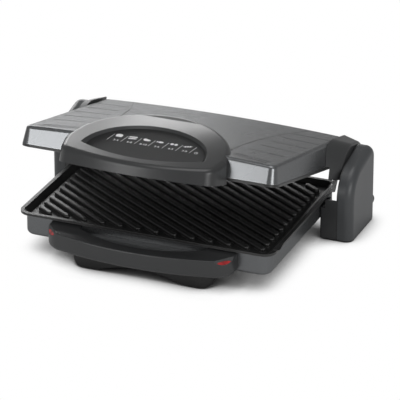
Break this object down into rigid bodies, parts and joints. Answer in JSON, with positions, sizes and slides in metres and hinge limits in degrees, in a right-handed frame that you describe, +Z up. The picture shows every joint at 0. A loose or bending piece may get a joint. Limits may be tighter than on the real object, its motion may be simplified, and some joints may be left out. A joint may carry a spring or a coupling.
{
  "type": "contact grill",
  "caption": "Tabletop electric contact grill: ribbed lower plate in a shallow housing, ribbed lid on a floating hinge between two side towers, console hood and bowed front handle.",
  "frame": {"origin": "middle of the whole part's box at rest, on the surface it stands on", "axes": "+Z up, -Y towards the user and the front handle, X across the grill"},
  "size_m": [0.398, 0.3114, 0.1671],
  "materials": {
    "housing_metal": "satin metallic grey",
    "cast_plate": "non-stick black",
    "grey_plastic": "fine-grained dark grey",
    "tower_plastic": "fine-grained dark grey",
    "black_plastic": "fine-grained black",
    "label_plastic": "satin dark sheet with a pale print",
    "lens_plastic": "clear red",
    "lamp_glass": "clear",
    "inner_plastic": "heat-proof moulded",
    "foot_rubber": "matt",
    "heater_steel": "oxidised",
    "bright_steel": "plain",
    "sheet_metal": "mill finish",
    "screw_steel": "zinc plated"
  },
  "bodies": {
    "base": {"bottom_cover": "black_plastic", "cord_gland": "black_plastic", "front_foot_bar": "black_plastic", "front_foot_pads": "foot_rubber", "front_handle": "grey_plastic", "handle_screws": "screw_steel", "left_block_screws": "screw_steel", "left_guide_rods": "bright_steel", "left_lamp_holder": "inner_plastic", "left_lamp_lens": "lens_plastic", "left_pilot_lamp": "lamp_glass", "left_shell_screws": "screw_steel", "left_tower_block": "grey_plastic", "left_tower_shell": "tower_plastic", "lower_grill_plate": "cast_plate", "lower_heating_element": "heater_steel", "lower_housing": "housing_metal", "lower_plate_screws": "screw_steel", "lower_reflector": "sheet_metal", "rear_foot_pads": "foot_rubber", "right_block_screws": "screw_steel", "right_guide_rods": "bright_steel", "right_lamp_holder": "inner_plastic", "right_lamp_lens": "lens_plastic", "right_pilot_lamp": "lamp_glass", "right_shell_screws": "screw_steel", "right_tower_block": "grey_plastic", "right_tower_shell": "tower_plastic", "terminal_block": "inner_plastic", "thermal_fuse": "bright_steel", "thermostat": "inner_plastic"},
    "hinge_carriage": {"left_slider": "bright_steel", "right_slider": "bright_steel", "left_hinge_pin": "bright_steel", "right_hinge_pin": "bright_steel"},
    "lid": {"lid_cover": "housing_metal", "upper_grill_plate": "cast_plate", "upper_heating_element": "heater_steel", "upper_reflector": "sheet_metal", "upper_plate_screws": "screw_steel", "console_hood": "grey_plastic", "console_label_panel": "label_plastic", "hood_underside": "grey_plastic", "hood_screws": "screw_steel", "left_lid_arm": "grey_plastic", "right_lid_arm": "grey_plastic", "left_arm_strip": "bright_steel", "right_arm_strip": "bright_steel", "left_arm_screws": "screw_steel", "right_arm_screws": "screw_steel"}
  },
  "joints": [
    {"name": "hinge_lift", "type": "slide", "parent": "base", "child": "hinge_carriage", "axis": [0, 0, 1], "range_m": [-0.018, 0.004]},
    {"name": "lid_hinge", "type": "hinge", "parent": "hinge_carriage", "child": "lid", "pos_m": [0, 0.12433, 0.073], "axis": [-1, 0, 0], "range_deg": [-15.5, 164.5]}
  ]
}
